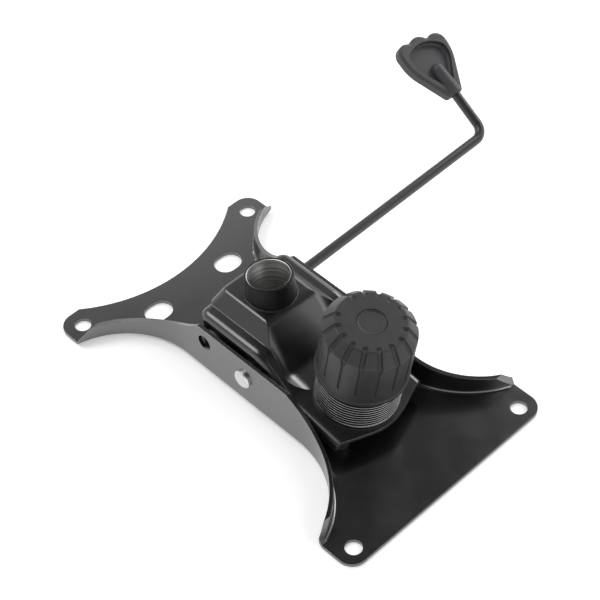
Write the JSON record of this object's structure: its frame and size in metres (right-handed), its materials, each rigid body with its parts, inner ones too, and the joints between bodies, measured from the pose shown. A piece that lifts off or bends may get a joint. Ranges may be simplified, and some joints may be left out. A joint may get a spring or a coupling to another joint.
{
  "type": "chair tilt mechanism",
  "caption": "Chair tilt mechanism: stamped seat plate, hinged drawn housing with gas-lift socket, spring tension knob and a bent height lever with paddle.",
  "frame": {"origin": "centre of the four seat holes, on the face that bolts to the seat", "axes": "+X towards the front of the chair, where the tension knob is; +Y towards the side of the lever; +Z away from the seat, so the part lies upside down as in the picture"},
  "size_m": [0.2735, 0.3413, 0.1006],
  "materials": {
    "plate_black": "satin black powder coat",
    "housing_black": "satin black powder coat",
    "socket_steel": "black coat over turned steel",
    "inner_steel": "plain steel, lightly oiled",
    "rivet_zinc": "bright zinc plate",
    "bolt_zinc": "zinc plate",
    "bush_plastic": "natural bearing plastic",
    "collar_black": "glossy black, oiled",
    "spring_steel": "spring steel, oiled",
    "knob_plastic": "charcoal, fine grain",
    "cap_plastic": "charcoal, smooth",
    "paddle_plastic": "charcoal, fine grain",
    "lever_black": "semi-gloss black",
    "stop_rubber": "black rubber"
  },
  "bodies": {
    "seat_base": {"seat_plate": "plate_black", "pivot_rivets": "rivet_zinc", "pivot_spacers": "inner_steel", "pivot_washers": "inner_steel", "front_stops": "stop_rubber", "rear_stop": "stop_rubber"},
    "housing": {"tilt_housing": "housing_black", "lift_socket": "socket_steel", "socket_brace": "inner_steel", "pivot_bushes": "bush_plastic", "spring_collar": "collar_black", "lever_bush": "bush_plastic", "lever_bracket": "inner_steel", "tension_spring": "spring_steel"},
    "bolt": {"tension_bolt": "bolt_zinc", "bolt_rocker_washer": "inner_steel"},
    "spring_seat": {"thrust_washer": "inner_steel"},
    "knob": {"tension_knob": "knob_plastic", "knob_nut": "bolt_zinc", "knob_cap": "cap_plastic"},
    "actuator": {"valve_actuator": "inner_steel"},
    "lever": {"lever_rod": "lever_black", "lever_paddle": "paddle_plastic", "lever_clip": "spring_steel"}
  },
  "joints": [
    {"name": "tilt", "type": "hinge", "parent": "seat_base", "child": "housing", "pos_m": [-0.003, 0, 0.0235], "axis": [0, -1, 0], "range_deg": [0, 10], "stiffness_Nm_per_rad": 97, "springref_deg": -8.02, "deforming": ["tension_spring"]},
    {"name": "bolt_draw", "type": "slide", "parent": "housing", "child": "bolt", "axis": [-0.1478, 0, -0.989], "range_m": [0, 0.01]},
    {"name": "knob_feed", "type": "slide", "parent": "bolt", "child": "spring_seat", "axis": [-0.1478, 0, -0.989], "range_m": [-0.00601, 0.00151]},
    {"name": "knob_spin", "type": "hinge", "parent": "spring_seat", "child": "knob", "pos_m": [0.0545, 0, 0.023], "axis": [-0.1478, 0, -0.989], "range_deg": [-1440, 360]},
    {"name": "lever_lift", "type": "hinge", "parent": "housing", "child": "actuator", "pos_m": [-0.0392, 0.043, 0.028], "axis": [0.0192, -0.9998, 0], "range_deg": [0, 15]},
    {"name": "lever_slide", "type": "slide", "parent": "actuator", "child": "lever", "axis": [0.0192, -0.9998, 0], "range_m": [0, 0.01]}
  ],
  "couplings": [
    {"joint": "bolt_draw", "follows": "tilt", "m_per_rad": 0.056942},
    {"joint": "knob_feed", "follows": "knob_spin", "m_per_rad": 0.00023873}
  ]
}
